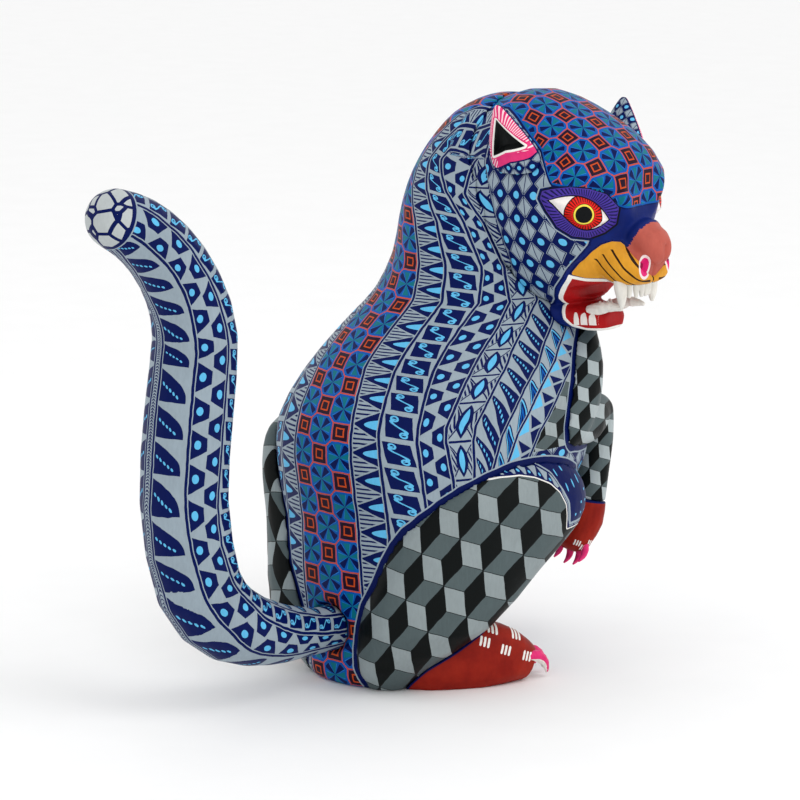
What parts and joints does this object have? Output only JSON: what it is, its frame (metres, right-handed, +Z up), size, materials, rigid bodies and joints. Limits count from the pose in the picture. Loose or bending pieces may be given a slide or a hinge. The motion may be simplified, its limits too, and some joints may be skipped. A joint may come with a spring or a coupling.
{
  "type": "alebrije figure",
  "caption": "Carved and painted seated wild cat with raised paws, turned head, open mouth, removable ears and a removable upswept tail.",
  "frame": {"origin": "on the ground in the middle of the torso's flat seat", "axes": "+Z up, the chest faces -Y and the figure's right side is towards -X; the head looks towards -X"},
  "size_m": [0.1459, 0.2502, 0.229],
  "materials": {
    "banded_paint": "acrylic bands and motifs, satin sealer",
    "ear_paint": "painted lattice and hollow, satin sealer",
    "cube_paint": "painted cube pattern, satin sealer",
    "brick_paint": "brick red acrylic, satin sealer",
    "bone_paint": "off-white acrylic, satin sealer",
    "claw_paint": "pink acrylic, satin sealer",
    "bare_wood": "unpainted turned dowel"
  },
  "bodies": {
    "root": {"torso": "banded_paint", "head": "banded_paint", "leg_right": "cube_paint", "leg_left": "cube_paint", "foot_right": "brick_paint", "foot_left": "brick_paint", "arm_right": "cube_paint", "arm_left": "cube_paint", "paw_right": "brick_paint", "paw_left": "brick_paint", "upper_fang_right": "bone_paint", "upper_fang_left": "bone_paint", "lower_fang_right": "bone_paint", "lower_fang_left": "bone_paint", "upper_incisors": "bone_paint", "lower_incisors": "bone_paint", "claws_foot_right": "claw_paint", "claws_foot_left": "claw_paint", "claws_hand_right": "claw_paint", "claws_hand_left": "claw_paint", "neck_dowel": "bare_wood", "arm_dowel_right": "bare_wood", "arm_dowel_left": "bare_wood", "leg_dowel_right": "bare_wood", "leg_dowel_left": "bare_wood"},
    "tail_dowel": {"tail_dowel": "bare_wood"},
    "tail": {"tail": "banded_paint"},
    "ear_right": {"ear_right": "ear_paint"},
    "ear_left": {"ear_left": "ear_paint"}
  },
  "joints": [
    {"name": "tail_pull", "type": "slide", "parent": "root", "child": "tail_dowel", "axis": [0, 1, 0], "range_m": [0, 0.03]},
    {"name": "tail_turn", "type": "hinge", "parent": "tail_dowel", "child": "tail", "pos_m": [0, 0.05, 0.023], "axis": [0, 1, 0], "range_deg": [-20, 20]},
    {"name": "ear_right_pull", "type": "slide", "parent": "root", "child": "ear_right", "axis": [-0.0581, 0.3668, 0.9285], "range_m": [0, 0.012]},
    {"name": "ear_left_pull", "type": "slide", "parent": "root", "child": "ear_left", "axis": [0.0581, -0.3668, 0.9285], "range_m": [0, 0.012]}
  ]
}
